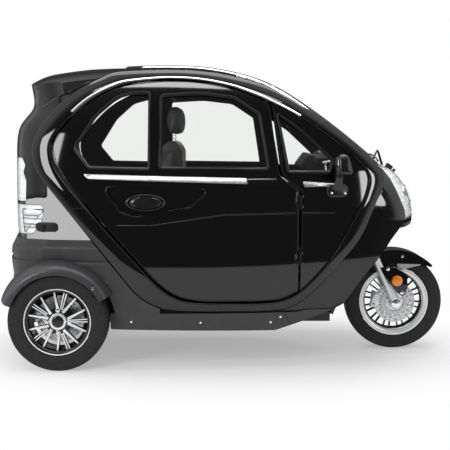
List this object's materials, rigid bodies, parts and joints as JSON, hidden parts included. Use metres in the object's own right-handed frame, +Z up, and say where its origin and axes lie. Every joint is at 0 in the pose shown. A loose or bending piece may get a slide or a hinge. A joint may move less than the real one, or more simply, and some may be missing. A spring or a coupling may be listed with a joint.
{
  "type": "three wheeled car",
  "caption": "Enclosed electric car with a steered wheel in a raked front fork, driven wheels at the rear and closed ring frames round its side doors.",
  "frame": {"origin": "centre of the overall box, at ground level", "axes": "+X forward, +Y to the car's left, +Z up"},
  "size_m": [2.314, 1.164, 1.528],
  "materials": {
    "gloss_black_paint": "gloss",
    "gloss_black_plastic": "gloss",
    "matte_grey_plastic": "matte",
    "satin_grey_plastic": "satin",
    "black_plastic": "matte",
    "frame_paint": "satin",
    "glass": "gloss",
    "clear_lens": "gloss",
    "tyre_rubber": "matte",
    "cast_alloy": "satin",
    "steel": "satin",
    "seat_leather": "satin"
  },
  "bodies": {
    "car_body": {"side_ring_right": "gloss_black_paint", "side_ring_left": "gloss_black_paint", "front_quarter_right": "gloss_black_paint", "front_quarter_left": "gloss_black_paint", "fixed_glass_right": "glass", "fixed_glass_left": "glass", "front_wing_right": "gloss_black_paint", "front_wing_left": "gloss_black_paint", "sill_skirt_right": "matte_grey_plastic", "sill_skirt_left": "matte_grey_plastic", "tail_lamp_right": "clear_lens", "tail_lamp_left": "clear_lens", "rear_quarter_right": "gloss_black_paint", "rear_quarter_left": "gloss_black_paint", "head_lamp_right": "clear_lens", "head_lamp_left": "clear_lens", "wheel_flare_right": "satin_grey_plastic", "wheel_flare_left": "satin_grey_plastic", "mirror_right": "gloss_black_plastic", "mirror_left": "gloss_black_plastic", "rear_spoiler": "gloss_black_paint", "rear_panel": "gloss_black_paint", "rear_window": "glass", "rear_bumper": "matte_grey_plastic", "roof_panel": "gloss_black_paint", "windscreen": "glass", "nose_panel": "gloss_black_paint", "chassis_frame": "frame_paint", "floor_pan": "black_plastic", "front_bulkhead": "black_plastic", "rear_axle": "frame_paint", "leaf_springs": "steel", "battery_box": "frame_paint", "seat_cushion": "seat_leather", "seat_back": "seat_leather", "headrest": "seat_leather", "rear_bench": "seat_leather", "dashboard": "black_plastic", "charging_port": "black_plastic"},
    "right_door": {"door_right": "gloss_black_paint", "front_door_glass_right": "glass", "rear_door_glass_right": "glass", "door_handle_right": "gloss_black_plastic"},
    "left_door": {"door_left": "gloss_black_paint", "front_door_glass_left": "glass", "rear_door_glass_left": "glass", "door_handle_left": "gloss_black_plastic"},
    "steering": {"front_fork": "cast_alloy", "front_fender": "gloss_black_paint", "handlebar": "black_plastic"},
    "front_wheel": {"front_tyre": "tyre_rubber", "front_rim": "cast_alloy", "front_disc": "steel"},
    "right_rear_wheel": {"rear_tyre_right": "tyre_rubber", "rear_rim_right": "cast_alloy"},
    "left_rear_wheel": {"rear_tyre_left": "tyre_rubber", "rear_rim_left": "cast_alloy"}
  },
  "joints": [
    {"name": "right_door_hinge", "type": "hinge", "parent": "car_body", "child": "right_door", "pos_m": [0.344, -0.447, 0.7], "axis": [0, 0, 1], "range_deg": [0, 65]},
    {"name": "left_door_hinge", "type": "hinge", "parent": "car_body", "child": "left_door", "pos_m": [0.344, 0.447, 0.7], "axis": [0, 0, -1], "range_deg": [0, 65]},
    {"name": "steering_head", "type": "hinge", "parent": "car_body", "child": "steering", "pos_m": [0.8622, 0, 0.24738], "axis": [-0.4179, 0, 0.9085], "range_deg": [-32, 32]},
    {"name": "front_wheel_spin", "type": "hinge", "parent": "steering", "child": "front_wheel", "pos_m": [0.894, 0, 0.262], "axis": [0, 1, 0], "continuous": true},
    {"name": "right_rear_wheel_spin", "type": "hinge", "parent": "car_body", "child": "right_rear_wheel", "pos_m": [-0.851, -0.45, 0.248], "axis": [0, 1, 0], "continuous": true},
    {"name": "left_rear_wheel_spin", "type": "hinge", "parent": "car_body", "child": "left_rear_wheel", "pos_m": [-0.851, 0.45, 0.248], "axis": [0, 1, 0], "continuous": true}
  ]
}
